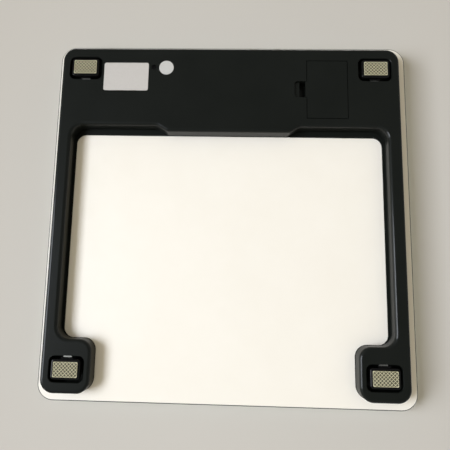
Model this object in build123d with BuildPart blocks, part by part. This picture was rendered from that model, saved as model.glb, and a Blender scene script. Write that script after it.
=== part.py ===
# Digital bathroom scale: a glass platform bonded to a U-shaped casing with four load-cell feet.
# Millimetres, Z up, the floor at z = 0, the display end at +Y, left and right as one stands on it.
from build123d import *
from math import asin, degrees
import os

os.makedirs("parts", exist_ok=True)

# Platform: square glass with a printed back and a clear display window
plate_size = 300.0
plate_corner = 13.0
glass_thick = 5.0
glass_edge = 0.4
print_thick = 0.2
print_margin = 0.8
window_width = 62.0
window_length = 26.0

# Three AAA cells set the depth of the battery bay, and the bay sets the depth of the casing
aaa_diameter = 10.5
aaa_length = 44.5
aaa_nub_diameter = 3.8
aaa_nub = 1.0
aaa_count = 3
aaa_gap = 0.3
aaa_clear = 0.35
contact_thick = 0.4
contact_height = 8.0
spring_room = 4.1
spring_width = 5.0
spring_clear = 0.1
tab_width = 2.4
tab_reach = 1.6
tab_slit = 0.2
bay_roof = 0.8
bay_ledge = 0.8

# Battery door
door_thick = 1.6
door_gap = 0.5
door_corner = 0.8
door_inset = 36.1
door_foot_gap = 9.0
hook_inner = 2.8
hook_thick = 0.9
hook_width = 7.0
hook_spacing = 30.0
hook_gap = 0.3
hook_tail = 38.0
hook_root = 1.8
latch_width = 13.6
latch_reach = 1.4
tongue_width = 9.0
tongue_thick = 1.1
tongue_height = 2.4
latch_depth = 5.6
notch_width = 14.2
notch_reach = 10.0
notch_depth = 9.0
notch_lip = 1.6
notch_ramp = 4.4
notch_slope = 0.5
notch_corner = 3.0

# Casing: a bar at the display end, two arms and two foot blocks round an open centre
plate_margin = 7.8
casing_corner = 10.7
bond_shift_x = 1.4
bond_shift_y = 0.3
bond_thick = 0.4
bond_margin = 0.5
wall = 2.0
wall_round = 2.6
bar_depth = 68.5
bar_bulge = 5.0
bulge_width = 101.0
bulge_run = 9.0
bulge_round = 3.4
arm_width = 11.0
arm_ledge = 1.7
block_width = 39.0
block_length = 41.1
block_corner = 9.5
inner_corner = 10.0
ledge_corner = 8.0
skirt = 0.2
skirt_height = 1.2

# Feet: a pad in a cap, on the free end of a bending load cell
foot_drop = 2.3
foot_inset_x = 20.4
foot_inset_y = 18.4
cap_width = 22.7
cap_length = 15.2
cap_corner = 2.2
cap_round = 0.9
well_gap = 2.3
well_rim = 0.4
pad_border = 1.9
pad_corner = 0.8
pad_proud = 0.7
pad_seat = 0.5
lip_gap = 1.0
lip_side = 1.3
lip_thick = 1.2
cell_width = 6.4
cell_thick = 2.0
cell_tail = 4.2
cell_lift = 0.2
cell_end_gap = 0.5
cell_notch = 0.3
cell_notch_width = 7.2
socket_wall = 2.0
socket_length = 10.2
socket_clear = 0.1
anchor_width = 12.0
anchor_length = 6.6
anchor_gap = 1.0
rivet_diameter = 3.0
rivet_clear = 0.05
gauge_width = 5.2
gauge_length = 6.0
gauge_height = 1.6
gauge_gap = 1.6

# Leads, held by clip posts on the casing floor
lead_diameter = 1.3
lead_bend = 5.0
lead_pitch = 2.5
clip_width = 3.0
clip_thick = 1.2
clip_rows = (-60.0, -20.0, 20.0)

# Circuit board and display
board_inset = 35.2
board_thick = 1.2
board_notch_gap = 7.2
board_button_gap = 8.4
switch_boss_gap = 0.2
boss_diameter = 6.0
boss_height = 4.1
boss_inset = 4.0
screw_shank = 1.9
screw_head = 3.8
screw_head_height = 1.3
screw_depth = 3.2
screw_slot = 0.6
screw_clear = 0.1
frame_wall = 3.4
frame_lip = 1.4
lcd_width = 73.0
lcd_length = 34.0
lcd_thick = 2.2
lcd_fit = 0.15
backlight_length = 26.0
backlight_thick = 2.4
zebra_thick = 1.6
zebra_width = 60.0
gasket_thick = 0.6
chip_diameter = 11.0
chip_height = 1.4
chip_round = 1.1
component_length = 2.0
component_width = 1.2
component_height = 0.9
component_pitch = 3.6
crystal_diameter = 3.0
socket_box_depth = 5.0
socket_box_height = 3.5
socket_box_edge = 1.7

# Unit button beside the label
label_width = 37.8
label_length = 24.7
label_corner = 1.6
label_thick = 0.15
label_gap = 2.2
label_inset = 26.0
button_diameter = 3.7
button_gap = 0.35
button_recess = 0.7
button_flange = 6.4
button_flange_thick = 0.8
button_travel = 0.4
button_label_gap = 4.5
button_inset = 17.4
switch_size = 6.0
switch_height = 2.0
plunger_diameter = 3.0
plunger_proud = 0.5
plunger_hidden = 0.5
plunger_clear = 0.3
sticker_diameter = 12.3
sticker_button_gap = 10.6
sticker_inset = 17.8

# Worked-out sizes of the bay, the door, the casing's depth, the wells and the display frame
aaa_pitch = aaa_diameter + aaa_gap
bay_width = aaa_count * aaa_pitch + aaa_gap
bay_length = aaa_length + spring_room + 2 * contact_thick
opening_width = bay_width + 2 * bay_ledge
opening_length = bay_length + 2 * bay_ledge
door_width = opening_width - 2 * door_gap
door_length = opening_length - 2 * door_gap
casing_height = door_thick + aaa_diameter + 2 * aaa_clear + bay_roof + bond_thick
well_width = cap_width + 2 * well_gap
well_length = cap_length + 2 * well_gap
well_corner = cap_corner + well_gap
rim_width = well_width + 2 * well_rim
rim_length = well_length + 2 * well_rim
frame_width = lcd_width + 2 * lcd_fit + 2 * frame_wall
frame_length = lcd_length + 2 * lcd_fit + 2 * frame_wall

# Levels
z_base = foot_drop
z_floor = z_base + wall
z_plate = z_base + casing_height
z_rim = z_plate - bond_thick
z_skirt = z_plate - skirt_height
z_glass = z_plate + print_thick
z_door = z_base + door_thick
z_aaa = z_door + aaa_clear + aaa_diameter / 2
z_cell = z_floor + cell_lift
z_cell_top = z_cell + cell_thick
z_lead = z_cell_top + gauge_height / 2
z_board = z_floor + boss_height
z_board_top = z_board + board_thick
z_frame_top = z_plate - gasket_thick
z_lcd = z_frame_top - lcd_thick
z_backlight = z_lcd - backlight_thick

# Places, measured from the casing's centre
half = plate_size / 2 - plate_margin
foot_x = half - foot_inset_x
foot_y = half - foot_inset_y
cell_length = block_length - wall - cell_end_gap - foot_inset_y + cell_tail
door_x = -(foot_x - well_width / 2 - door_foot_gap - opening_width / 2)
door_y = half - door_inset
hinge_x = door_x - opening_width / 2
notch_start = door_x + opening_width / 2
notch_end = notch_start + notch_reach
label_x = foot_x - well_width / 2 - label_gap - label_width / 2
label_y = half - label_inset
button_x = label_x - label_width / 2 - button_label_gap
button_y = half - button_inset
sticker_x = button_x - sticker_button_gap
sticker_y = half - sticker_inset
board_left = notch_end + board_notch_gap
board_right = button_x + board_button_gap
board_x = (board_left + board_right) / 2
board_y = half - board_inset
button_reach = switch_size / 2 + switch_boss_gap + boss_diameter / 2 + boss_inset
board_length = 2 * (button_y - board_y + button_reach)
board_width = board_right - board_left
feet = {
    "display_left": (-1, 1),
    "display_right": (1, 1),
    "heel_left": (-1, -1),
    "heel_right": (1, -1),
}


def level(z):
    """Horizontal plane at height z, centred on the casing."""
    return Plane(origin=(bond_shift_x, bond_shift_y, z))


def section(y):
    """Upright plane across the casing at y, with its own x along X and its own y along Z."""
    return Plane(origin=(bond_shift_x, bond_shift_y + y, 0), x_dir=(1, 0, 0), z_dir=(0, -1, 0))


def mirrored(points):
    """Points of the right half, followed by their mirror images on the left half."""
    return points + [(-x, y) for x, y in reversed(points)]


def finish(part, name):
    """Names a piece and writes its file."""
    part.part.label = name
    export_step(part.part, f"parts/{name}.step")


# Outline of the casing's walls, and of the skirt that stands out round their foot
block_edge = half - block_width
block_top = block_length - half
arm_edge = half - arm_width
bar_edge = half - bar_depth
bulge_edge = bar_edge - bar_bulge
bulge_half = bulge_width / 2
wall_points = mirrored(
    [
        (half, half),
        (half, -half),
        (block_edge, -half),
        (block_edge, block_top),
        (arm_edge, block_top),
        (arm_edge, bar_edge),
        (bulge_half + bulge_run, bar_edge),
        (bulge_half, bulge_edge),
    ]
)
wall_half_radii = [casing_corner] * 3 + [block_corner] + [inner_corner] * 2 + [bulge_round] * 2
wall_radii = wall_half_radii + wall_half_radii[::-1]
skirt_points = mirrored(
    [
        (half + skirt, half + skirt),
        (half + skirt, -half - skirt),
        (block_edge - skirt, -half - skirt),
        (block_edge - skirt, block_top + skirt),
        (arm_edge - arm_ledge, block_top + skirt),
        (arm_edge - arm_ledge, bulge_edge - skirt),
    ]
)
skirt_half_radii = [casing_corner + skirt] * 3 + [block_corner + skirt] + [ledge_corner] * 2
skirt_radii = skirt_half_radii + skirt_half_radii[::-1]

# Glass platform with a pencil-polished edge
with BuildPart() as glass_platform:
    with BuildSketch(Plane.XY.offset(z_glass)):
        RectangleRounded(plate_size, plate_size, plate_corner)
    extrude(amount=glass_thick)
    fillet(glass_platform.edges().group_by(Axis.Z)[-1], radius=glass_edge)
    chamfer(glass_platform.edges().group_by(Axis.Z)[0], length=glass_edge)
finish(glass_platform, "glass_platform")

# White print on the back of the glass, open at the display
print_size = plate_size - 2 * print_margin
with BuildPart() as back_print:
    with BuildSketch(Plane.XY.offset(z_plate)):
        RectangleRounded(print_size, print_size, plate_corner - print_margin)
        with Locations((0, board_y)):
            Rectangle(window_width, window_length, mode=Mode.SUBTRACT)
    extrude(amount=print_thick)
finish(back_print, "back_print")

# Clip posts under the leads: along the arms and round the battery bay
arm_lane = half - arm_width / 2
bay_side = door_x - bay_width / 2 - wall
bay_end = door_y + bay_length / 2 + wall
lead_y = foot_y + cell_tail - cell_length + anchor_length + gauge_gap + gauge_length / 4
inner_lane = bay_side - lead_pitch
outer_lane = inner_lane - lead_pitch
near_lane = bay_end + lead_pitch
far_lane = near_lane + lead_pitch
left_drop = board_left - 4 * lead_pitch
left_plug_y = board_y + board_length / 4
minus_plug_y = board_y - board_length / 4
right_plug_y = board_y - board_length / 6
cross_y = bar_edge + wall + 8 * lead_pitch
clip_spots = [(side * arm_lane, y) for side in (-1, 1) for y in clip_rows]
clip_spots += [(door_x, near_lane), (door_x, far_lane)]

# Battery bay: where the cells lie and where the leads leave it
cell_spots = [door_x + (i - (aaa_count - 1) / 2) * aaa_pitch for i in range(aaa_count)]
plus_tab = (cell_spots[0], bay_end)
minus_tab = (cell_spots[-1], door_y - bay_length / 2 - wall)

# Casing
roof_end = foot_y + cell_tail - cell_length + anchor_length + anchor_gap
roof_length = half - roof_end
hook_outer = hook_inner + hook_thick
hook_angle = degrees(asin((wall + hook_gap) / hook_inner))
boss_spots = [
    (board_x + sx * (board_width / 2 - boss_inset), board_y + sy * (board_length / 2 - boss_inset))
    for sx in (-1, 1)
    for sy in (-1, 1)
]
with BuildPart() as base_casing:
    with BuildSketch(level(z_skirt)):
        with BuildLine():
            FilletPolyline(*skirt_points, radius=skirt_radii, close=True)
        make_face()
    extrude(amount=z_rim - z_skirt)
    with BuildSketch(level(z_base)):
        with BuildLine():
            FilletPolyline(*wall_points, radius=wall_radii, close=True)
        make_face()
    extrude(amount=z_rim - z_base)
    fillet(base_casing.edges().group_by(Axis.Z)[0], radius=wall_round)
    # Hollow inside
    with BuildSketch(level(z_floor)):
        with BuildLine():
            FilletPolyline(*wall_points, radius=wall_radii, close=True)
        make_face()
        offset(amount=-wall, mode=Mode.REPLACE)
    extrude(amount=z_rim - z_floor, mode=Mode.SUBTRACT)
    # Roof over each foot, as thick as the battery bay's
    with BuildSketch(level(z_rim - bay_roof)):
        with BuildLine():
            FilletPolyline(*wall_points, radius=wall_radii, close=True)
        make_face()
        with BuildSketch(mode=Mode.INTERSECT):
            for side, end in feet.values():
                with Locations((side * (half - block_width / 2), end * (half - roof_length / 2))):
                    Rectangle(block_width, roof_length)
    extrude(amount=bay_roof)
    # Battery bay and the box behind the finger notch
    with BuildSketch(level(z_floor)):
        with Locations((door_x, door_y)):
            Rectangle(bay_width + 2 * wall, bay_length + 2 * wall)
    extrude(amount=z_rim - z_floor)
    with BuildSketch(level(z_floor)):
        with Locations(((notch_start + notch_end + wall) / 2 - wall, door_y)):
            Rectangle(notch_reach + wall + 2 * wall, notch_width + 2 * wall)
    extrude(amount=z_base + notch_depth + bay_roof - z_floor)
    # Board bosses and clip posts
    with BuildSketch(level(z_floor)):
        with Locations(*boss_spots):
            Circle(boss_diameter / 2)
            Circle(screw_shank / 2 + screw_clear / 2, mode=Mode.SUBTRACT)
    extrude(amount=boss_height)
    with BuildSketch(level(z_floor)):
        with Locations(*clip_spots):
            Rectangle(clip_width, clip_thick)
    extrude(amount=z_lead - lead_diameter / 2 - z_floor)
    # Door seat and the inside of the bay
    with BuildSketch(level(z_base)):
        with Locations((door_x, door_y)):
            RectangleRounded(opening_width, opening_length, door_corner)
    extrude(amount=door_thick, mode=Mode.SUBTRACT)
    with BuildSketch(level(z_door)):
        with Locations((door_x, door_y)):
            Rectangle(bay_width, bay_length)
    extrude(amount=z_rim - bay_roof - z_door, mode=Mode.SUBTRACT)
    # Slots behind the floor for the door's hooks
    with BuildSketch(level(z_floor)):
        with Locations(*[(hinge_x, door_y + side * hook_spacing / 2) for side in (-1, 1)]):
            Rectangle(2 * hook_outer, hook_width + 4 * hook_gap)
    extrude(amount=hook_outer - wall + 2 * hook_gap, mode=Mode.SUBTRACT)
    # Finger notch with its ramp, open to the door's latch
    with BuildSketch(section(door_y)):
        with BuildLine():
            Polyline(
                (notch_start - bay_ledge - wall, z_base),
                (notch_end, z_base),
                (notch_end, z_base + notch_lip),
                (notch_end - notch_ramp, z_base + notch_lip + notch_slope),
                (notch_end - notch_ramp, z_base + notch_depth),
                (notch_start, z_base + notch_depth),
                (notch_start, z_base + latch_depth),
                (notch_start - bay_ledge - wall, z_base + latch_depth),
                close=True,
            )
        make_face()
    extrude(amount=notch_width / 2, both=True, mode=Mode.SUBTRACT)
    notch_edges = base_casing.edges().filter_by(Axis.Z).filter_by_position(
        Axis.X, bond_shift_x + notch_end - door_gap, bond_shift_x + notch_end + door_gap
    )
    fillet(notch_edges.group_by(Axis.Z)[0], radius=notch_corner)
    # Slits for the contact tabs
    with BuildSketch(level(z_lead - contact_thick / 2 - tab_slit)):
        with Locations((plus_tab[0], plus_tab[1] - wall / 2), (minus_tab[0], minus_tab[1] + wall / 2)):
            Rectangle(tab_width + 2 * tab_slit, wall)
    extrude(amount=contact_thick + 2 * tab_slit, mode=Mode.SUBTRACT)
    # Wells for the feet, each with a notch over its load cell and a bevelled rim
    with BuildSketch(level(z_base)):
        for side, end in feet.values():
            with Locations((side * foot_x, end * foot_y)):
                RectangleRounded(well_width, well_length, well_corner)
            with Locations((side * foot_x, end * (foot_y - well_length / 2))):
                Rectangle(cell_notch_width, 2 * cell_notch)
    extrude(amount=wall, mode=Mode.SUBTRACT)
    with BuildSketch(level(z_base)):
        for side, end in feet.values():
            with Locations((side * foot_x, end * foot_y)):
                RectangleRounded(rim_width, rim_length, well_corner + well_rim)
    extrude(amount=well_rim, taper=45, mode=Mode.SUBTRACT)
    # Hole for the unit button
    with BuildSketch(level(z_base)):
        with Locations((button_x, button_y)):
            Circle(button_diameter / 2 + button_gap)
    extrude(amount=wall, mode=Mode.SUBTRACT)
finish(base_casing, "base_casing")

# Adhesive: a loop on the casing's rim and a patch on each cell anchor
anchor_y = foot_y + cell_tail - cell_length + anchor_length / 2
with BuildPart() as bond_tape:
    with BuildSketch(level(z_rim)):
        with BuildLine():
            FilletPolyline(*skirt_points, radius=skirt_radii, close=True)
        make_face()
        offset(amount=-bond_margin, mode=Mode.REPLACE)
        with BuildSketch(mode=Mode.SUBTRACT):
            with BuildLine():
                FilletPolyline(*wall_points, radius=wall_radii, close=True)
            make_face()
            offset(amount=bond_margin - wall, mode=Mode.REPLACE)
        for side, end in feet.values():
            with Locations((side * foot_x, end * anchor_y)):
                Rectangle(anchor_width, anchor_length)
    extrude(amount=bond_thick)
finish(bond_tape, "bond_tape")

# Feet
z_cap = pad_proud
pad_width = cap_width - 2 * pad_border
pad_length = cap_length - 2 * pad_border
socket_width = cell_width + 2 * socket_clear + 2 * socket_wall
for name, (side, end) in feet.items():
    x = side * foot_x
    y = end * foot_y
    with BuildPart() as foot_cap:
        with BuildSketch(level(z_cap)):
            with Locations((x, y)):
                RectangleRounded(cap_width, cap_length, cap_corner)
        extrude(amount=z_cell - z_cap)
        fillet(foot_cap.edges().group_by(Axis.Z)[0], radius=cap_round)
        with BuildSketch(level(z_cell)):
            with Locations((x, y + end * (cell_tail + socket_wall - socket_length / 2))):
                Rectangle(socket_width, socket_length)
        extrude(amount=cell_thick + socket_clear + socket_wall)
        with BuildSketch(level(z_cell)):
            with Locations((x, y + end * (cell_tail + socket_clear - socket_length / 2))):
                Rectangle(cell_width + 2 * socket_clear, socket_length)
        extrude(amount=cell_thick + socket_clear, mode=Mode.SUBTRACT)
        # Lip that carries the cell across the well's gap
        with BuildSketch(level(z_cell - lip_thick)):
            with Locations((x, y - end * cap_length / 2)):
                Rectangle(cell_width + 2 * lip_side, 2 * (well_gap - lip_gap))
        extrude(amount=lip_thick)
        with BuildSketch(level(z_cap)):
            with Locations((x, y)):
                RectangleRounded(pad_width, pad_length, pad_corner)
        extrude(amount=pad_seat, mode=Mode.SUBTRACT)
    finish(foot_cap, f"foot_cap_{name}")

    with BuildPart() as foot_pad:
        with BuildSketch(level(0)):
            with Locations((x, y)):
                RectangleRounded(pad_width, pad_length, pad_corner)
        extrude(amount=pad_proud + pad_seat)
    finish(foot_pad, f"foot_pad_{name}")

    with BuildPart() as load_cell:
        with BuildSketch(level(z_cell)):
            with Locations((x, y + end * (cell_tail - cell_length / 2))):
                Rectangle(cell_width, cell_length)
            with Locations((x, end * anchor_y)):
                Circle(rivet_diameter / 2 + rivet_clear, mode=Mode.SUBTRACT)
        extrude(amount=cell_thick)
    finish(load_cell, f"load_cell_{name}")

    with BuildPart() as cell_anchor:
        with BuildSketch(level(z_cell_top)):
            with Locations((x, end * anchor_y)):
                Rectangle(anchor_width, anchor_length)
        extrude(amount=z_rim - z_cell_top)
        with BuildSketch(level(z_cell)):
            with Locations((x, end * anchor_y)):
                Circle(rivet_diameter / 2)
        extrude(amount=cell_thick)
    finish(cell_anchor, f"cell_anchor_{name}")

# Strain gauges under their moulded covers
gauge_y = foot_y + cell_tail - cell_length + anchor_length + gauge_gap + gauge_length / 2
with BuildPart() as strain_gauges:
    with BuildSketch(level(z_cell_top)):
        for side, end in feet.values():
            with Locations((side * foot_x, end * gauge_y)):
                Rectangle(gauge_width, gauge_length)
    extrude(amount=gauge_height)
finish(strain_gauges, "strain_gauges")

# Leads from the gauges to the sockets under the board, all at one height
gauge_side = foot_x - gauge_width / 2
gauge_far_side = foot_x + gauge_width / 2
routes = {
    "display_left": [
        (-gauge_side, lead_y),
        (outer_lane, lead_y),
        (outer_lane, far_lane),
        (left_drop + lead_pitch, far_lane),
        (left_drop + lead_pitch, left_plug_y + lead_pitch),
        (board_left, left_plug_y + lead_pitch),
    ],
    "display_right": [
        (gauge_side, lead_y),
        (board_right + 8 * lead_pitch, lead_y),
        (board_right + 4 * lead_pitch, right_plug_y + lead_pitch),
        (board_right, right_plug_y + lead_pitch),
    ],
    "heel_left": [
        (-gauge_far_side, -lead_y),
        (-arm_lane, -lead_y),
        (-arm_lane, cross_y),
        (inner_lane, cross_y),
        (inner_lane, near_lane),
        (left_drop, near_lane),
        (left_drop, left_plug_y),
        (board_left, left_plug_y),
    ],
    "heel_right": [
        (gauge_far_side, -lead_y),
        (arm_lane, -lead_y),
        (arm_lane, right_plug_y),
        (board_right, right_plug_y),
    ],
}
for name, points in routes.items():
    with BuildPart() as sensor_lead:
        with BuildLine(level(z_lead)) as route:
            FilletPolyline(*points, radius=lead_bend)
        with BuildSketch(Plane(origin=route.line @ 0, z_dir=route.line % 0)):
            Circle(lead_diameter / 2)
        sweep(path=route.line)
    finish(sensor_lead, f"sensor_lead_{name}")

# Battery door: plate, latch tab and tongue, and two hooks that turn about its edge
hook_root_end = hinge_x + bay_ledge + door_gap + hook_root
hook_start = 90 - hook_tail
hook_sweep = 90 - hook_angle + hook_tail
with BuildPart() as battery_door:
    with BuildSketch(level(z_base)):
        with Locations((door_x, door_y)):
            RectangleRounded(door_width, door_length, door_corner)
        with Locations((notch_start - door_gap + (latch_reach - latch_width / 2) / 2, door_y)):
            Rectangle(latch_reach + latch_width / 2, latch_width)
    extrude(amount=door_thick)
    with BuildSketch(level(z_door)):
        with Locations((notch_start - door_gap - bay_ledge, door_y)):
            Rectangle(tongue_thick, tongue_width)
    extrude(amount=tongue_height)
    for side in (-1, 1):
        with BuildSketch(section(door_y + side * hook_spacing / 2)):
            with BuildLine():
                inner = CenterArc((hinge_x, z_base), hook_inner, hook_start, hook_sweep)
                outer = CenterArc((hinge_x, z_base), hook_outer, hook_start, hook_sweep)
                Line(inner @ 0, outer @ 0)
                Line(inner @ 1, outer @ 1)
            make_face()
            with BuildLine():
                Polyline(
                    (inner @ 0),
                    (outer @ 0),
                    (hook_root_end, z_door),
                    (hook_root_end - hook_root, z_door),
                    close=True,
                )
            make_face()
        extrude(amount=hook_width / 2, both=True)
finish(battery_door, "battery_door")

# Cells, alternately turned
for i, x in enumerate(cell_spots):
    plus_end = 1 if i % 2 == 0 else -1
    plus_y = door_y + plus_end * (bay_length / 2 - contact_thick)
    with BuildPart() as battery_cell:
        with BuildSketch(section(plus_y - plus_end * aaa_nub)):
            with Locations((x, z_aaa)):
                Circle(aaa_diameter / 2)
        extrude(amount=plus_end * (aaa_length - aaa_nub))
        with BuildSketch(section(plus_y)):
            with Locations((x, z_aaa)):
                Circle(aaa_nub_diameter / 2)
        extrude(amount=plus_end * aaa_nub)
    finish(battery_cell, f"battery_cell_{i + 1}")

# Contact plates: two that link neighbours and two that end in tabs through the bay's walls
contact_width = aaa_pitch - 2 * aaa_gap
link_width = contact_width + aaa_pitch
near_y = door_y - bay_length / 2
far_y = door_y + bay_length / 2
with BuildPart() as battery_contacts:
    with BuildSketch(section(far_y)):
        with Locations((cell_spots[0], z_aaa)):
            Rectangle(contact_width, contact_height)
        with Locations(((cell_spots[1] + cell_spots[2]) / 2, z_aaa)):
            Rectangle(link_width, contact_height)
    extrude(amount=contact_thick)
    with BuildSketch(section(near_y)):
        with Locations((cell_spots[2], z_aaa)):
            Rectangle(contact_width, contact_height)
        with Locations(((cell_spots[0] + cell_spots[1]) / 2, z_aaa)):
            Rectangle(link_width, contact_height)
    extrude(amount=-contact_thick)
    with BuildSketch(level(z_lead - contact_thick / 2)):
        with Locations((plus_tab[0], far_y + (wall + tab_reach) / 2)):
            Rectangle(tab_width, wall + tab_reach)
        with Locations((minus_tab[0], near_y - (wall + tab_reach) / 2)):
            Rectangle(tab_width, wall + tab_reach)
    extrude(amount=contact_thick)
finish(battery_contacts, "battery_contacts")

# Leaf springs at the flat end of each cell
leaf_reach = spring_room - spring_clear
leaf_half = contact_height / 2
with BuildPart() as battery_springs:
    for i, x in enumerate(cell_spots):
        flat_end = -1 if i % 2 == 0 else 1
        seat_y = door_y + flat_end * (bay_length / 2 - contact_thick)
        tip_y = seat_y - flat_end * leaf_reach
        inner_y = tip_y + flat_end * contact_thick
        leaf_plane = Plane(origin=(bond_shift_x + x, bond_shift_y, z_aaa), x_dir=(0, 1, 0), z_dir=(1, 0, 0))
        with BuildSketch(leaf_plane):
            with BuildLine():
                Polyline(
                    (seat_y, -leaf_half),
                    (tip_y, 0),
                    (seat_y, leaf_half),
                    (seat_y, leaf_half - contact_thick),
                    (inner_y, 0),
                    (seat_y, contact_thick - leaf_half),
                    close=True,
                )
            make_face()
        extrude(amount=spring_width / 2, both=True)
finish(battery_springs, "battery_springs")

# Supply leads from the tabs to the sockets on the board
supply_routes = {
    "plus": [
        (plus_tab[0] + tab_width / 2, plus_tab[1] + tab_reach / 2),
        (left_drop - lead_pitch, plus_tab[1] + tab_reach / 2),
        (left_drop - lead_pitch, left_plug_y - lead_pitch),
        (board_left, left_plug_y - lead_pitch),
    ],
    "minus": [
        (minus_tab[0] + tab_width / 2, minus_tab[1] - tab_reach / 2),
        (left_drop, minus_tab[1] - tab_reach / 2),
        (left_drop, minus_plug_y),
        (board_left, minus_plug_y),
    ],
}
for name, points in supply_routes.items():
    with BuildPart() as battery_lead:
        with BuildLine(level(z_lead)) as route:
            FilletPolyline(*points, radius=lead_bend)
        with BuildSketch(Plane(origin=route.line @ 0, z_dir=route.line % 0)):
            Circle(lead_diameter / 2)
        sweep(path=route.line)
    finish(battery_lead, f"battery_lead_{name}")

# Circuit board, its screws and what is soldered to it
with BuildPart() as circuit_board:
    with BuildSketch(level(z_board)):
        with Locations((board_x, board_y)):
            Rectangle(board_width, board_length)
        with Locations(*boss_spots):
            Circle(screw_shank / 2 + screw_clear, mode=Mode.SUBTRACT)
    extrude(amount=board_thick)
finish(circuit_board, "circuit_board")

with BuildPart() as board_screws:
    with BuildSketch(level(z_board_top - screw_depth - board_thick)):
        with Locations(*boss_spots):
            Circle(screw_shank / 2)
    extrude(amount=screw_depth + board_thick)
    with BuildSketch(level(z_board_top)):
        with Locations(*boss_spots):
            Circle(screw_head / 2)
    extrude(amount=screw_head_height)
    with BuildSketch(level(z_board_top + screw_head_height)):
        with Locations(*boss_spots):
            Rectangle(screw_head / 2, screw_slot)
            Rectangle(screw_slot, screw_head / 2)
    extrude(amount=-screw_slot, mode=Mode.SUBTRACT)
finish(board_screws, "board_screws")

with BuildPart() as controller_chip:
    with BuildSketch(level(z_board)):
        with Locations((board_x, board_y)):
            Circle(chip_diameter / 2)
    extrude(amount=-chip_height)
    fillet(controller_chip.edges().group_by(Axis.Z)[0], radius=chip_round)
finish(controller_chip, "controller_chip")

with BuildPart() as board_components:
    with BuildSketch(level(z_board)):
        with Locations((board_x, board_y - chip_diameter)):
            with GridLocations(component_pitch, component_pitch, 3, 2):
                Rectangle(component_length, component_width)
        with Locations((board_x, board_y + chip_diameter)):
            Circle(crystal_diameter / 2)
    extrude(amount=-component_height)
finish(board_components, "board_components")

with BuildPart() as lead_sockets:
    with BuildSketch(level(z_board - socket_box_height)):
        with Locations((board_left + socket_box_depth / 2, left_plug_y)):
            Rectangle(socket_box_depth, 2 * lead_pitch + 2 * socket_box_edge)
        with Locations((board_left + socket_box_depth / 2, minus_plug_y)):
            Rectangle(socket_box_depth, 2 * socket_box_edge)
        with Locations((board_right - socket_box_depth / 2, right_plug_y + lead_pitch / 2)):
            Rectangle(socket_box_depth, lead_pitch + 2 * socket_box_edge)
    extrude(amount=socket_box_height)
finish(lead_sockets, "lead_sockets")

# Display: frame on the board, backlight, panel, contact strips and a foam gasket to the glass
zebra_y = lcd_length / 2 - zebra_thick / 2 - lcd_fit
with BuildPart() as display_frame:
    with BuildSketch(level(z_board_top)):
        with Locations((0, board_y)):
            Rectangle(frame_width, frame_length)
            Rectangle(zebra_width, backlight_length - 2 * frame_lip, mode=Mode.SUBTRACT)
        with Locations((0, board_y - zebra_y), (0, board_y + zebra_y)):
            Rectangle(zebra_width + 2 * lcd_fit, zebra_thick + 2 * lcd_fit, mode=Mode.SUBTRACT)
    extrude(amount=z_frame_top - z_board_top)
    with BuildSketch(level(z_backlight)):
        with Locations((0, board_y)):
            Rectangle(zebra_width + 2 * frame_lip + 2 * lcd_fit, backlight_length + 2 * lcd_fit)
    extrude(amount=backlight_thick, mode=Mode.SUBTRACT)
    with BuildSketch(level(z_lcd)):
        with Locations((0, board_y)):
            Rectangle(lcd_width + 2 * lcd_fit, lcd_length + 2 * lcd_fit)
    extrude(amount=lcd_thick, mode=Mode.SUBTRACT)
finish(display_frame, "display_frame")

with BuildPart() as backlight_panel:
    with BuildSketch(level(z_backlight)):
        with Locations((0, board_y)):
            Rectangle(zebra_width + 2 * frame_lip, backlight_length)
    extrude(amount=backlight_thick)
finish(backlight_panel, "backlight_panel")

with BuildPart() as lcd_panel:
    with BuildSketch(level(z_lcd)):
        with Locations((0, board_y)):
            Rectangle(lcd_width, lcd_length)
    extrude(amount=lcd_thick)
finish(lcd_panel, "lcd_panel")

with BuildPart() as zebra_strips:
    with BuildSketch(level(z_board_top)):
        with Locations((0, board_y - zebra_y), (0, board_y + zebra_y)):
            Rectangle(zebra_width, zebra_thick)
    extrude(amount=z_lcd - z_board_top)
finish(zebra_strips, "zebra_strips")

with BuildPart() as display_gasket:
    with BuildSketch(level(z_frame_top)):
        with Locations((0, board_y)):
            Rectangle(frame_width, frame_length)
            Rectangle(lcd_width, lcd_length, mode=Mode.SUBTRACT)
    extrude(amount=gasket_thick)
finish(display_gasket, "display_gasket")

# Unit button, with its switch under the board
z_plunger = z_board - switch_height - plunger_proud
with BuildPart() as unit_button:
    with BuildSketch(level(z_base + button_recess)):
        with Locations((button_x, button_y)):
            Circle(button_diameter / 2)
    extrude(amount=z_plunger - z_base - button_recess)
    with BuildSketch(level(z_floor)):
        with Locations((button_x, button_y)):
            Circle(button_flange / 2)
    extrude(amount=button_flange_thick)
finish(unit_button, "unit_button")

with BuildPart() as unit_switch:
    with BuildSketch(level(z_board - switch_height)):
        with Locations((button_x, button_y)):
            Rectangle(switch_size, switch_size)
    extrude(amount=switch_height)
    with BuildSketch(level(z_board - switch_height)):
        with Locations((button_x, button_y)):
            Circle(plunger_diameter / 2 + plunger_clear)
    extrude(amount=plunger_hidden + button_travel + plunger_clear, mode=Mode.SUBTRACT)
finish(unit_switch, "unit_switch")

with BuildPart() as switch_plunger:
    with BuildSketch(level(z_plunger)):
        with Locations((button_x, button_y)):
            Circle(plunger_diameter / 2)
    extrude(amount=plunger_proud + plunger_hidden)
finish(switch_plunger, "switch_plunger")

# Bare label and round sticker on the underside
with BuildPart() as rating_label:
    with BuildSketch(level(z_base - label_thick)):
        with Locations((label_x, label_y)):
            RectangleRounded(label_width, label_length, label_corner)
    extrude(amount=label_thick)
finish(rating_label, "rating_label")

with BuildPart() as inspection_sticker:
    with BuildSketch(level(z_base - label_thick)):
        with Locations((sticker_x, sticker_y)):
            Circle(sticker_diameter / 2)
    extrude(amount=label_thick)
finish(inspection_sticker, "inspection_sticker")
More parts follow.
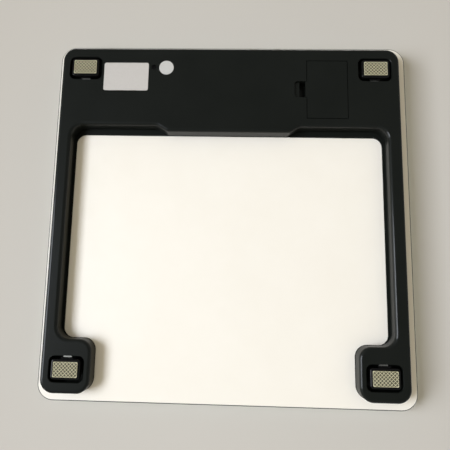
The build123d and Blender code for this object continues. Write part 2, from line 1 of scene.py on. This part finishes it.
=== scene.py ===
import bpy
import bmesh
import math
from mathutils import Euler, Matrix, Vector


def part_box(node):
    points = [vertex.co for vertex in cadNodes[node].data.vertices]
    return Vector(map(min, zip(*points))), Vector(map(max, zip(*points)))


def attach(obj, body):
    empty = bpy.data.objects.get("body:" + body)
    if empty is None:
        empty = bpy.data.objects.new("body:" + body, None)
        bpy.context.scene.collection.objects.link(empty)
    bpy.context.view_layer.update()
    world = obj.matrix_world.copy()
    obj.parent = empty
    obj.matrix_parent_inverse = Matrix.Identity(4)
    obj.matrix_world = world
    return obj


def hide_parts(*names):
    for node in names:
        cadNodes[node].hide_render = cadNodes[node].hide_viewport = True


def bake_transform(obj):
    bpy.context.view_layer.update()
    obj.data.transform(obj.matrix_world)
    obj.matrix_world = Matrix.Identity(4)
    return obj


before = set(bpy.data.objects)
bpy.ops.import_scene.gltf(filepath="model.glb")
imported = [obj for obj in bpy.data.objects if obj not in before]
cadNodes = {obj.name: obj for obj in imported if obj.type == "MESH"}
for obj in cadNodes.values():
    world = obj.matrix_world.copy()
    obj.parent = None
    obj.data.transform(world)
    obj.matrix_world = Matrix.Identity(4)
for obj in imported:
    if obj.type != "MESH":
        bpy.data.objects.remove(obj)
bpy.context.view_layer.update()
mm = 0.001  # the frame is in metres
feet = ("display_left", "display_right", "heel_left", "heel_right")
print("frame loaded,", len(cadNodes), "nodes")

# Camera: the scale lies on its glass, and one looks at its underside
cameraSet = {
    "place": (-0.36 * mm, -57.99 * mm, -368.8 * mm),
    "turn": (8.829, -178.159, -1.296),  # degrees
    "lens": 37.39,
    "sensor": 36.0,
    "shift": (0.0286, -0.0233),
    "nearest": 10.0 * mm,
}


def addCamera():
    data = bpy.data.cameras.new("underside_camera")
    data.sensor_width = cameraSet["sensor"]
    data.lens = cameraSet["lens"]
    data.shift_x, data.shift_y = cameraSet["shift"]
    data.clip_start = cameraSet["nearest"]
    camera = bpy.data.objects.new("underside_camera", data)
    camera.location = cameraSet["place"]
    camera.rotation_euler = Euler([math.radians(angle) for angle in cameraSet["turn"]])
    bpy.context.scene.collection.objects.link(camera)
    bpy.context.scene.camera = camera


addCamera()
print("camera placed")


# Short cuts for meshes and node trees
def meshObject(name, bm, look):
    mesh = bpy.data.meshes.new(name)
    bm.to_mesh(mesh)
    bm.free()
    mesh.materials.append(look)
    made = bpy.data.objects.new(name, mesh)
    bpy.context.scene.collection.objects.link(made)
    return made


def dress(look, *names):
    for name in names:
        for holder in cadNodes[name].material_slots:
            holder.material = look


def newLook(name):
    look = bpy.data.materials.new(name)
    look.use_nodes = True
    return look, look.node_tree, look.node_tree.nodes["Principled BSDF"]


def addNode(tree, kind, **sockets):
    node = tree.nodes.new(kind)
    for label, value in sockets.items():
        node.inputs[label.replace("_", " ")].default_value = value
    return node


def objectPoint(tree, scale=(1, 1, 1), shift=(0, 0, 0)):
    source = tree.nodes.new("ShaderNodeTexCoord")
    mapping = addNode(tree, "ShaderNodeMapping", Location=shift, Scale=scale)
    tree.links.new(source.outputs["Object"], mapping.inputs["Vector"])
    return mapping.outputs["Vector"]


def noise(tree, size, detail=3.0, rough=0.5, stretch=(1, 1, 1)):
    node = addNode(tree, "ShaderNodeTexNoise", Scale=1 / size, Detail=detail, Roughness=rough)
    tree.links.new(objectPoint(tree, stretch), node.inputs["Vector"])
    return node.outputs["Fac"]


def ramp(tree, source, *stops, steps=False):
    node = tree.nodes.new("ShaderNodeValToRGB")
    if steps:
        node.color_ramp.interpolation = "CONSTANT"
    while len(node.color_ramp.elements) < len(stops):
        node.color_ramp.elements.new(1.0)
    for element, (place, tone) in zip(node.color_ramp.elements, stops):
        element.position = place
        element.color = (*tone, 1)
    tree.links.new(source, node.inputs["Fac"])
    return node.outputs["Color"]


def spread(tree, source, low, high, start=0.3, end=0.7):
    node = tree.nodes.new("ShaderNodeMapRange")
    for label, value in zip(("From Min", "From Max", "To Min", "To Max"), (start, end, low, high)):
        node.inputs[label].default_value = value
    tree.links.new(source, node.inputs["Value"])
    return node.outputs["Result"]


def bump(tree, shader, source, height, strength=1.0):
    node = addNode(tree, "ShaderNodeBump", Strength=strength, Distance=height)
    tree.links.new(source, node.inputs["Height"])
    tree.links.new(node.outputs["Normal"], shader.inputs["Normal"])


def feed(tree, node, sources):  # each source is another node's output or a plain value
    for socket, source in zip(node.inputs, sources):
        if isinstance(source, bpy.types.NodeSocket):
            tree.links.new(source, socket)
        else:
            socket.default_value = source


def scalarMath(tree, operation, *sources):
    node = tree.nodes.new("ShaderNodeMath")
    node.operation = operation
    feed(tree, node, sources)
    return node.outputs["Value"]


def vectorMath(tree, operation, *sources):
    node = tree.nodes.new("ShaderNodeVectorMath")
    node.operation = operation
    feed(tree, node, sources)
    return node.outputs["Value" if operation == "LENGTH" else "Vector"]


def mixed(tree, share, first, second):
    node = tree.nodes.new("ShaderNodeMixShader")
    feed(tree, node, (share, first, second))
    return node.outputs["Shader"]


# Stage: a floor under the feet and a table under the glass, each seen from its own side alone
stageSet = {
    "floorTone": (0.74, 0.74, 0.73),
    "tableTone": (0.580, 0.562, 0.530),
    "tableDrop": 10.0 * mm,  # widens the plate's soft shadow
    "patch": 0.25,
    "shade": 0.985,
    "reach": 12.0,
    "fade": (0.5, 1.4),  # metres from the middle, where the planes pass into the sky's rim
    "horizon": (0.499, 0.501),  # just below and just above it, from 0 straight down to 1 straight up
    "fillRim": (0.155, 0.139, 0.108),
    "fillPole": (0.625, 0.562, 0.435),
    "fillAbove": (0.50, 0.50, 0.495),
    "skyRim": (0.55, 0.55, 0.545),
    "skyPole": (0.23, 0.235, 0.23),
    "skyStops": (0.05, 0.9),
}


def stageLook(name, tone):
    look, tree, shader = newLook(name)
    tree.nodes.remove(shader)
    matt = tree.nodes.new("ShaderNodeBsdfDiffuse")
    shaded = [channel * stageSet["shade"] for channel in tone]
    patches = noise(tree, stageSet["patch"])
    tree.links.new(ramp(tree, patches, (0.3, shaded), (0.7, tone)), matt.inputs["Color"])
    haze = addNode(tree, "ShaderNodeEmission", Color=(*stageSet["skyRim"], 1))
    away = vectorMath(tree, "LENGTH", objectPoint(tree, (1, 1, 0)))
    faded = mixed(tree, spread(tree, away, 0.0, 1.0, *stageSet["fade"]), matt.outputs[0], haze.outputs[0])
    clear = tree.nodes.new("ShaderNodeBsdfTransparent")
    side = tree.nodes.new("ShaderNodeNewGeometry")
    oneSided = mixed(tree, side.outputs["Backfacing"], faded, clear.outputs[0])
    tree.links.new(oneSided, tree.nodes["Material Output"].inputs["Surface"])
    return look


def stagePlane(name, height, tone, facingDown):
    bm = bmesh.new()
    bmesh.ops.create_grid(bm, x_segments=1, y_segments=1, size=stageSet["reach"])
    bmesh.ops.translate(bm, verts=bm.verts, vec=(0, 0, height))
    if facingDown:
        bmesh.ops.reverse_faces(bm, faces=bm.faces)
    plane = meshObject(name, bm, stageLook(name, tone))
    plane.visible_diffuse = False
    plane.visible_glossy = False
    plane.visible_transmission = False
    plane.visible_shadow = False


def lightWorld():
    world = bpy.data.worlds.new("studio")
    bpy.context.scene.world = world
    world.use_nodes = True
    tree = world.node_tree
    fill = tree.nodes["Background"]
    direction = tree.nodes.new("ShaderNodeTexCoord")
    parts = tree.nodes.new("ShaderNodeSeparateXYZ")
    tree.links.new(direction.outputs["Generated"], parts.inputs["Vector"])
    climb = spread(tree, parts.outputs["Z"], 0.0, 1.0, -1.0, 1.0)
    below, above = stageSet["horizon"]
    around = ramp(
        tree, climb,
        (0.0, stageSet["fillPole"]), (below, stageSet["fillRim"]), (above, stageSet["fillAbove"]),
    )
    tree.links.new(around, fill.inputs["Color"])
    seen = tree.nodes.new("ShaderNodeBackground")
    steep = scalarMath(tree, "ABSOLUTE", parts.outputs["Z"])
    sky = ramp(tree, steep, *zip(stageSet["skyStops"], (stageSet["skyRim"], stageSet["skyPole"])))
    tree.links.new(sky, seen.inputs["Color"])
    rays = tree.nodes.new("ShaderNodeLightPath")
    shown = rays.outputs["Is Camera Ray"]
    for kind in ("Is Glossy Ray", "Is Transmission Ray"):
        shown = scalarMath(tree, "MAXIMUM", shown, rays.outputs[kind])
    lit = mixed(tree, shown, fill.outputs[0], seen.outputs[0])
    tree.links.new(lit, tree.nodes["World Output"].inputs["Surface"])


# Lamps
lampSet = {  # place and the way it faces, sizes in metres
    "window_below": {
        "place": (0.95, -0.12, -1.28), "faces": (-1, 0, -0.25), "size": (1.45, 0.64), "watts": 48.0,
        "tone": (0.865, 0.910, 1.0),
    },
    "glow_beside": {
        "place": (1.20, -0.12, -0.42), "faces": (-1, 0, 0.3), "size": (0.80, 0.64), "watts": 5.5,
        "tone": (0.94, 0.97, 1.0), "mirrored": True,  # seen only in the gloss of rounded edges
    },
    "softbox_above": {
        "place": (-0.63, -0.81, 1.48), "faces": (0.35, 0.45, -0.82), "size": (1.8, 1.8), "watts": 24.0,
        "tone": (1.0, 0.995, 0.985),
    },
}


def addLamp(name):
    made = lampSet[name]
    data = bpy.data.lights.new(name, "AREA")
    data.shape = "RECTANGLE"
    data.size, data.size_y = made["size"]
    data.energy = made["watts"]
    data.color = made["tone"]
    lamp = bpy.data.objects.new(name, data)
    lamp.location = made["place"]
    lamp.rotation_euler = Vector(made["faces"]).to_track_quat("-Z", "X").to_euler()
    lamp.visible_camera = False
    lamp.visible_diffuse = not made.get("mirrored", False)
    bpy.context.scene.collection.objects.link(lamp)


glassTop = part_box("glass_platform")[1].z
stagePlane("floor", 0.0, stageSet["floorTone"], False)
stagePlane("table", glassTop + stageSet["tableDrop"], stageSet["tableTone"], True)
lightWorld()
for lampName in lampSet:
    addLamp(lampName)
print("stage set,", len(lampSet), "lamps")


# Moulded plastics, foams and insulation
mouldSet = {
    "detail": 4.0, "rough": 0.55, "stops": (0.32, 0.68), "grainDetail": 2.0, "bump": 0.6, "shine": 0.5,
}
mouldings = {
    "casing": {
        "dark": (0.0057, 0.0071, 0.0058), "light": (0.0071, 0.0086, 0.0071),
        "patch": 45 * mm, "grain": 0.35 * mm, "relief": 0.012 * mm, "gloss": (0.46, 0.54),
        "shine": 0.065, "skin": (0.3, 0.14),  # weight and roughness of its smooth skin
    },
    "cap": {
        "dark": (0.0032, 0.0032, 0.0032), "light": (0.0048, 0.0048, 0.0048),
        "patch": 6 * mm, "grain": 0.8 * mm, "relief": 0.002 * mm, "gloss": (0.12, 0.18), "shine": 0.2,
    },
    "button": {
        "dark": (0.0022, 0.0022, 0.0022), "light": (0.0036, 0.0036, 0.0036),
        "patch": 2 * mm, "grain": 0.25 * mm, "relief": 0.01 * mm, "gloss": (0.50, 0.60), "shine": 0.08,
    },
    "anchor": {
        "dark": (0.030, 0.030, 0.031), "light": (0.048, 0.048, 0.047),
        "patch": 8 * mm, "grain": 0.3 * mm, "relief": 0.02 * mm, "gloss": (0.42, 0.52),
    },
    "switch": {
        "dark": (0.028, 0.028, 0.029), "light": (0.040, 0.040, 0.040),
        "patch": 3 * mm, "grain": 0.2 * mm, "relief": 0.01 * mm, "gloss": (0.34, 0.44),
    },
    "chip": {
        "dark": (0.012, 0.012, 0.013), "light": (0.022, 0.022, 0.022),
        "patch": 4 * mm, "grain": 1.2 * mm, "relief": 0.05 * mm, "gloss": (0.22, 0.36),
    },
    "component": {
        "dark": (0.085, 0.065, 0.048), "light": (0.18, 0.145, 0.11),
        "patch": 1.8 * mm, "grain": 0.2 * mm, "relief": 0.01 * mm, "gloss": (0.40, 0.55),
    },
    "socket": {
        "dark": (0.66, 0.63, 0.55), "light": (0.76, 0.73, 0.66),
        "patch": 6 * mm, "grain": 0.3 * mm, "relief": 0.01 * mm, "gloss": (0.38, 0.48),
    },
    "frame_white": {
        "dark": (0.66, 0.66, 0.64), "light": (0.74, 0.74, 0.72),
        "patch": 15 * mm, "grain": 0.3 * mm, "relief": 0.015 * mm, "gloss": (0.40, 0.50),
    },
    "gasket": {
        "dark": (0.022, 0.022, 0.023), "light": (0.040, 0.040, 0.040),
        "patch": 1.2 * mm, "grain": 0.5 * mm, "relief": 0.12 * mm, "gloss": (0.80, 0.95),
    },
    "tape": {
        "dark": (0.60, 0.60, 0.57), "light": (0.70, 0.70, 0.67),
        "patch": 1.5 * mm, "grain": 0.5 * mm, "relief": 0.10 * mm, "gloss": (0.75, 0.90),
    },
    "gauge": {
        "dark": (0.68, 0.68, 0.64), "light": (0.80, 0.80, 0.77),
        "patch": 3 * mm, "grain": 0.9 * mm, "relief": 0.06 * mm, "gloss": (0.30, 0.45),
    },
    "lead": {
        "dark": (0.014, 0.014, 0.015), "light": (0.026, 0.026, 0.026),
        "patch": 9 * mm, "grain": 0.4 * mm, "relief": 0.015 * mm, "gloss": (0.34, 0.46),
    },
    "lead_red": {
        "dark": (0.36, 0.016, 0.014), "light": (0.48, 0.028, 0.024),
        "patch": 9 * mm, "grain": 0.4 * mm, "relief": 0.015 * mm, "gloss": (0.34, 0.46),
    },
}


def mouldedLook(name):
    made = mouldings[name]
    look, tree, shader = newLook(name)
    patches = noise(tree, made["patch"], mouldSet["detail"], mouldSet["rough"])
    tone = ramp(tree, patches, *zip(mouldSet["stops"], (made["dark"], made["light"])))
    tree.links.new(tone, shader.inputs["Base Color"])
    tree.links.new(spread(tree, patches, *made["gloss"]), shader.inputs["Roughness"])
    shader.inputs["Specular IOR Level"].default_value = made.get("shine", mouldSet["shine"])
    for label, value in zip(("Coat Weight", "Coat Roughness"), made.get("skin", (0, 0))):
        shader.inputs[label].default_value = value
    bump(tree, shader, noise(tree, made["grain"], mouldSet["grainDetail"]), made["relief"], mouldSet["bump"])
    return look


# Metals, streaked along one way
metalSet = {"streak": 8 * mm, "detail": 4.0, "rough": 0.6, "relief": 0.004 * mm, "bump": 0.5}
metals = {
    "steel": {
        "dark": (0.23, 0.225, 0.20), "light": (0.34, 0.335, 0.30),
        "gloss": (0.54, 0.64), "stretch": (60, 1, 60),
    },
    "plated": {
        "dark": (0.58, 0.57, 0.53), "light": (0.74, 0.73, 0.69),
        "gloss": (0.20, 0.32), "stretch": (1, 40, 40),
    },
}


def metalLook(name):
    made = metals[name]
    look, tree, shader = newLook(name)
    streaks = noise(tree, metalSet["streak"], metalSet["detail"], metalSet["rough"], made["stretch"])
    tone = ramp(tree, streaks, (0.3, made["dark"]), (0.7, made["light"]))
    tree.links.new(tone, shader.inputs["Base Color"])
    tree.links.new(spread(tree, streaks, *made["gloss"]), shader.inputs["Roughness"])
    shader.inputs["Metallic"].default_value = 1.0
    bump(tree, shader, streaks, metalSet["relief"], metalSet["bump"])
    return look


# Papers, ink and the milky light guide
paperSet = {"detail": 5.0, "rough": 0.6, "grain": 0.6 * mm, "relief": 0.006 * mm, "bump": 0.5}
papers = {
    "label": {
        "dark": (0.535, 0.518, 0.500), "light": (0.565, 0.547, 0.530),
        "fibre": 1.5 * mm, "gloss": (0.36, 0.46),
    },
    "sticker": {
        "dark": (0.52, 0.525, 0.515), "light": (0.57, 0.575, 0.565),
        "fibre": 0.9 * mm, "gloss": (0.45, 0.55),
    },
    "print": {
        "dark": (0.925, 0.892, 0.820), "light": (0.940, 0.910, 0.842),
        "fibre": 30 * mm, "gloss": (0.34, 0.42),
    },
    "backlight": {
        "dark": (0.76, 0.79, 0.80), "light": (0.84, 0.86, 0.87),
        "fibre": 4 * mm, "gloss": (0.20, 0.30),
    },
}


def paperLook(name):
    made = papers[name]
    look, tree, shader = newLook(name)
    fibres = noise(tree, made["fibre"], paperSet["detail"], paperSet["rough"])
    tone = ramp(tree, fibres, (0.3, made["dark"]), (0.7, made["light"]))
    tree.links.new(tone, shader.inputs["Base Color"])
    tree.links.new(spread(tree, fibres, *made["gloss"]), shader.inputs["Roughness"])
    bump(tree, shader, noise(tree, paperSet["grain"]), paperSet["relief"], paperSet["bump"])
    return look


# Tempered glass: lamps shine through to the ink under it
glassSet = {
    "tint": (0.955, 0.985, 0.972), "bend": 1.52, "gloss": (0.010, 0.030), "smear": 25 * mm,
    "corner": 13.0 * mm,
    "ground": (0.80 * mm, 0.95 * mm),  # the dark ground rim, partly the real ground edge and partly painted shadow where the plate meets the table, is full up to the first and gone past the second
    "edgeDark": (0.045, 0.052, 0.048), "edgeLight": (0.085, 0.095, 0.088),
    "edgePatch": 2 * mm, "edgeGloss": 0.45,
}


def groundRimAndShadow(tree):
    low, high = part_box("glass_platform")
    centre, half = (low + high) / 2, (high - low) / 2
    straight = (half.x - glassSet["corner"], half.y - glassSet["corner"], 0)
    away = vectorMath(tree, "ABSOLUTE", objectPoint(tree, (1, 1, 0), (-centre.x, -centre.y, 0)))
    past = vectorMath(tree, "SUBTRACT", away, straight)  # how far a point lies into a rounded corner
    reach = vectorMath(tree, "LENGTH", vectorMath(tree, "MAXIMUM", past, (0, 0, 0)))
    ground, polished = [glassSet["corner"] - width for width in glassSet["ground"]]
    return spread(tree, reach, 0.0, 1.0, polished, ground)


def glassLook():
    look, tree, shader = newLook("glass")
    shader.inputs["Base Color"].default_value = (*glassSet["tint"], 1)
    shader.inputs["IOR"].default_value = glassSet["bend"]
    shader.inputs["Transmission Weight"].default_value = 1.0
    smears = noise(tree, glassSet["smear"])
    tree.links.new(spread(tree, smears, *glassSet["gloss"]), shader.inputs["Roughness"])
    rays = tree.nodes.new("ShaderNodeLightPath")
    through = scalarMath(tree, "MAXIMUM", rays.outputs["Is Shadow Ray"], rays.outputs["Is Diffuse Ray"])
    clear = addNode(tree, "ShaderNodeBsdfTransparent", Color=(*glassSet["tint"], 1))
    plate = mixed(tree, through, shader.outputs[0], clear.outputs[0])
    matt = addNode(tree, "ShaderNodeBsdfPrincipled", Roughness=glassSet["edgeGloss"])
    patches = noise(tree, glassSet["edgePatch"])
    # painted shadow: the ground rim's dark tone also stands in for the plate's contact shadow on the table
    mottled = ramp(tree, patches, (0.3, glassSet["edgeDark"]), (0.7, glassSet["edgeLight"]))
    tree.links.new(mottled, matt.inputs["Base Color"])
    rimmed = mixed(tree, groundRimAndShadow(tree), plate, matt.outputs[0])
    tree.links.new(rimmed, tree.nodes["Material Output"].inputs["Surface"])
    return look


# Circuit board: green mask over copper tracks
boardSet = {
    "mask": (0.012, 0.085, 0.030), "shade": 0.85, "track": (0.035, 0.17, 0.060), "relief": 0.03 * mm,
    "pitch": 2.4 * mm, "width": 0.07, "blur": 0.1, "field": (4.0, 0.5),  # shares of the pitch
    "patch": 5 * mm, "gloss": (0.25, 0.4),
}


def boardLook():
    look, tree, shader = newLook("board")
    shaded = [channel * boardSet["shade"] for channel in boardSet["mask"]]
    length, height = boardSet["field"]
    tracks = addNode(
        tree, "ShaderNodeTexBrick", Scale=1 / boardSet["pitch"], Brick_Width=length, Row_Height=height,
        Mortar_Size=boardSet["width"], Mortar_Smooth=boardSet["blur"], Mortar=(*boardSet["track"], 1),
        Color1=(*boardSet["mask"], 1), Color2=(*shaded, 1),
    )
    tree.links.new(objectPoint(tree), tracks.inputs["Vector"])
    tree.links.new(tracks.outputs["Color"], shader.inputs["Base Color"])
    patches = noise(tree, boardSet["patch"])
    tree.links.new(spread(tree, patches, *boardSet["gloss"]), shader.inputs["Roughness"])
    bump(tree, shader, tracks.outputs["Fac"], boardSet["relief"])
    return look


# Connector strips: carbon layers between silicone
zebraSet = {
    "silicone": (0.55, 0.30, 0.34), "carbon": (0.03, 0.03, 0.03), "pitch": 0.8 * mm,
    "wave": 0.314,  # a wave texture's period at scale 1
    "stops": (0.45, 0.55), "patch": 2 * mm, "gloss": (0.5, 0.65),
}


def zebraLook():
    look, tree, shader = newLook("zebra")
    layers = addNode(tree, "ShaderNodeTexWave", Scale=zebraSet["wave"] / zebraSet["pitch"], Distortion=0.0)
    layers.bands_direction = "X"
    tree.links.new(objectPoint(tree), layers.inputs["Vector"])
    tones = zebraSet["silicone"], zebraSet["carbon"]
    stripes = ramp(tree, layers.outputs["Fac"], *zip(zebraSet["stops"], tones))
    tree.links.new(stripes, shader.inputs["Base Color"])
    patches = noise(tree, zebraSet["patch"])
    tree.links.new(spread(tree, patches, *zebraSet["gloss"]), shader.inputs["Roughness"])
    return look


# Display: a switched-off panel, grey-green inside a dark border
lcdSet = {
    "panel": (0.105, 0.125, 0.108), "border": (0.012, 0.013, 0.013), "margin": 4.0 * mm,
    "patch": 10 * mm, "gloss": (0.12, 0.2),
}


def lcdLook():
    look, tree, shader = newLook("lcd")
    low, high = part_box("lcd_panel")
    centre, half = (low + high) / 2, (high - low) / 2
    parts = tree.nodes.new("ShaderNodeSeparateXYZ")
    tree.links.new(objectPoint(tree, shift=-centre), parts.inputs["Vector"])
    near = []
    for axis, reach in (("X", half.x), ("Y", half.y)):
        away = scalarMath(tree, "ABSOLUTE", parts.outputs[axis])
        near.append(scalarMath(tree, "LESS_THAN", away, reach - lcdSet["margin"]))
    inside = scalarMath(tree, "MULTIPLY", *near)
    tone = ramp(tree, inside, (0.4, lcdSet["border"]), (0.6, lcdSet["panel"]))
    tree.links.new(tone, shader.inputs["Base Color"])
    patches = noise(tree, lcdSet["patch"])
    tree.links.new(spread(tree, patches, *lcdSet["gloss"]), shader.inputs["Roughness"])
    return look


# Dry cells: plain foil jacket with a paler band at the plus end, bare steel at both ends
cellSet = {
    "steel": (0.62, 0.61, 0.58), "jacket": (0.105, 0.120, 0.145), "band": (0.36, 0.37, 0.38),
    "ends": (0.012, 0.70, 0.955),  # shares of the length: foot, shoulder and neck
    "nubUp": {"battery_cell_1": True, "battery_cell_2": False, "battery_cell_3": True},
    "metal": 0.75, "patch": 3 * mm, "gloss": (0.24, 0.36),
}


def cellLook(name):
    look, tree, shader = newLook(name + "_jacket")
    low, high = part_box(name)
    length = high.y - low.y
    way = 1 if cellSet["nubUp"][name] else -1
    start = low.y if way > 0 else high.y
    parts = tree.nodes.new("ShaderNodeSeparateXYZ")
    along = objectPoint(tree, (1, way / length, 1), shift=(0, -way * start / length, 0))
    tree.links.new(along, parts.inputs["Vector"])
    foot, shoulder, neck = cellSet["ends"]
    bands = ramp(
        tree, parts.outputs["Y"], (0.0, cellSet["steel"]), (foot, cellSet["jacket"]),
        (shoulder, cellSet["band"]), (neck, cellSet["steel"]), steps=True,
    )
    tree.links.new(bands, shader.inputs["Base Color"])
    shader.inputs["Metallic"].default_value = cellSet["metal"]
    patches = noise(tree, cellSet["patch"])
    tree.links.new(spread(tree, patches, *cellSet["gloss"]), shader.inputs["Roughness"])
    return look


# Which pieces have which finish
for slot, names in {
    "casing": ("base_casing", "battery_door"),
    "cap": ["foot_cap_" + foot for foot in feet],
    "button": ("unit_button", "switch_plunger"),
    "anchor": ["cell_anchor_" + foot for foot in feet],
    "switch": ("unit_switch",),
    "chip": ("controller_chip",),
    "component": ("board_components",),
    "socket": ("lead_sockets",),
    "frame_white": ("display_frame",),
    "gasket": ("display_gasket",),
    "tape": ("bond_tape",),
    "lead": ["battery_lead_minus"] + ["sensor_lead_" + foot for foot in feet],
    "lead_red": ("battery_lead_plus",),
}.items():
    dress(mouldedLook(slot), *names)
steelFinish = metalLook("steel")
dress(steelFinish, "board_screws")
dress(metalLook("plated"), "battery_contacts", "battery_springs")
dress(paperLook("label"), "rating_label")
dress(paperLook("sticker"), "inspection_sticker")
dress(paperLook("backlight"), "backlight_panel")
dress(glassLook(), "glass_platform")
dress(boardLook(), "circuit_board")
dress(zebraLook(), "zebra_strips")
dress(lcdLook(), "lcd_panel")
for cellName in cellSet["nubUp"]:
    dress(cellLook(cellName), cellName)
print("finishes mixed")


# Ink on the back of the glass, a hair thinner than its space so that it stays clear of the glass
inkSet = {"air": 0.04 * mm, "weld": 0.001 * mm}


def printedBack():
    bm = bmesh.new()
    bm.from_mesh(cadNodes["back_print"].data)
    bmesh.ops.remove_doubles(bm, verts=bm.verts, dist=inkSet["weld"])
    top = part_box("back_print")[1].z
    upper = [vert for vert in bm.verts if vert.co.z > top - inkSet["air"]]
    bmesh.ops.translate(bm, verts=upper, vec=(0, 0, -inkSet["air"]))
    ink = meshObject("printed_back", bm, paperLook("print"))
    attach(ink, "casing")
    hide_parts("back_print")


printedBack()
print("ink laid")


# Load cells: steel strips and the gauges on them, sliced across between the anchor and the foot that lifts
# them
bendSet = {"cuts": 8, "weld": 0.001 * mm}


def bendingPiece(name, node, foot, look):
    capLow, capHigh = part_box("foot_cap_" + foot)
    anchorLow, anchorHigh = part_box("cell_anchor_" + foot)
    held, lifted = (anchorHigh, capLow) if capLow.y > anchorLow.y else (anchorLow, capHigh)
    bm = bmesh.new()
    bm.from_mesh(cadNodes[node].data)
    bmesh.ops.remove_doubles(bm, verts=bm.verts, dist=bendSet["weld"])
    others = [vert for vert in bm.verts if vert.co.x * held.x < 0 or vert.co.y * held.y < 0]
    bmesh.ops.delete(bm, geom=others, context="VERTS")
    for cut in range(bendSet["cuts"] + 1):
        place = held.lerp(lifted, cut / bendSet["cuts"])
        everything = bm.verts[:] + bm.edges[:] + bm.faces[:]
        bmesh.ops.bisect_plane(bm, geom=everything, plane_co=place, plane_no=(0, 1, 0))
    for face in bm.faces:
        face.smooth = False
    piece = meshObject(name + foot, bm, look)
    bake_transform(piece)
    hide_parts(node)


gaugeFinish = mouldedLook("gauge")
for foot in feet:
    bendingPiece("bending_strip_", "load_cell_" + foot, foot, steelFinish)
    bendingPiece("gauge_cover_", "strain_gauges", foot, gaugeFinish)
print("load cells strung")


# Foot pads with a diamond knurl
padSet = {
    "cell": 1.95 * mm, "rib": 0.38 * mm, "slope": 0.14 * mm, "depth": 0.35 * mm, "corner": 0.8 * mm,
    "turn": 45.0,  # degrees
    "cuts": 16,
    "least": 0.26,  # share of a cell, under which it stays flat
    # the pit tone is partly dirt and partly painted shade in the knurl's pits
    "ridge": (0.660, 0.628, 0.430), "pit": (0.085, 0.078, 0.046), "stops": (0.07, 1.0),
    "wear": 1.1 * mm, "wearDetail": 4.0, "wearShare": 0.2, "gloss": (0.6, 0.8),
    "grain": 0.4 * mm, "relief": 0.01 * mm, "bump": 0.3,
}


def padLook():
    look, tree, shader = newLook("pad")
    pits = tree.nodes.new("ShaderNodeAttribute")
    pits.attribute_name = "pit"
    mottled = noise(tree, padSet["wear"], padSet["wearDetail"])
    depth = scalarMath(tree, "MULTIPLY_ADD", mottled, padSet["wearShare"], pits.outputs["Fac"])
    # pits take the dark pit tone: partly dirt, partly painted shade
    tone = ramp(tree, depth, *zip(padSet["stops"], (padSet["ridge"], padSet["pit"])))
    tree.links.new(tone, shader.inputs["Base Color"])
    tree.links.new(spread(tree, mottled, *padSet["gloss"]), shader.inputs["Roughness"])
    bump(tree, shader, noise(tree, padSet["grain"]), padSet["relief"], padSet["bump"])
    return look


def knurledPad(foot, look):
    low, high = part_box("foot_pad_" + foot)
    half = (high - low) / 2
    middle = Vector((low.x + half.x, low.y + half.y, low.z))
    bm = bmesh.new()
    count = 2 * math.ceil((half.x + half.y) / padSet["cell"])
    turned = Matrix.Translation(middle) @ Matrix.Rotation(math.radians(padSet["turn"]), 4, "Z")
    bmesh.ops.create_grid(
        bm, x_segments=count, y_segments=count, size=count * padSet["cell"] / 2, matrix=turned,
    )
    for cut in range(padSet["cuts"]):  # trimmed to the pad, three cuts round each corner
        angle = 2 * math.pi * cut / padSet["cuts"]
        outward = Vector((math.cos(angle), math.sin(angle), 0))
        flat = abs(outward.x) * (half.x - padSet["corner"]) + abs(outward.y) * (half.y - padSet["corner"])
        everything = bm.verts[:] + bm.edges[:] + bm.faces[:]
        bmesh.ops.bisect_plane(
            bm, geom=everything, plane_co=middle + outward * (flat + padSet["corner"]), plane_no=outward,
            clear_outer=True,
        )
    pits = [face for face in bm.faces if face.calc_area() > padSet["least"] * padSet["cell"] ** 2]
    bmesh.ops.inset_individual(bm, faces=pits, thickness=padSet["rib"] / 2)
    bmesh.ops.inset_individual(bm, faces=pits, thickness=padSet["slope"], depth=padSet["depth"])
    sunk = bm.verts.layers.float.new("pit")
    for face in pits:
        for vert in face.verts:
            vert[sunk] = 1.0
    rim = [edge for edge in bm.edges if edge.is_boundary]
    grown = bmesh.ops.extrude_edge_only(bm, edges=rim)["geom"]
    raised = [part for part in grown if isinstance(part, bmesh.types.BMVert)]
    bmesh.ops.translate(bm, verts=raised, vec=(0, 0, high.z - low.z))
    bmesh.ops.contextual_create(bm, geom=[edge for edge in bm.edges if edge.is_boundary])
    bmesh.ops.recalc_face_normals(bm, faces=bm.faces)
    pad = meshObject("knurled_pad_" + foot, bm, look)
    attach(pad, "foot_" + foot)
    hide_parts("foot_pad_" + foot)


padFinish = padLook()
for foot in feet:
    knurledPad(foot, padFinish)
print("pads knurled")

bpy.context.scene.view_settings.view_transform = "Standard"
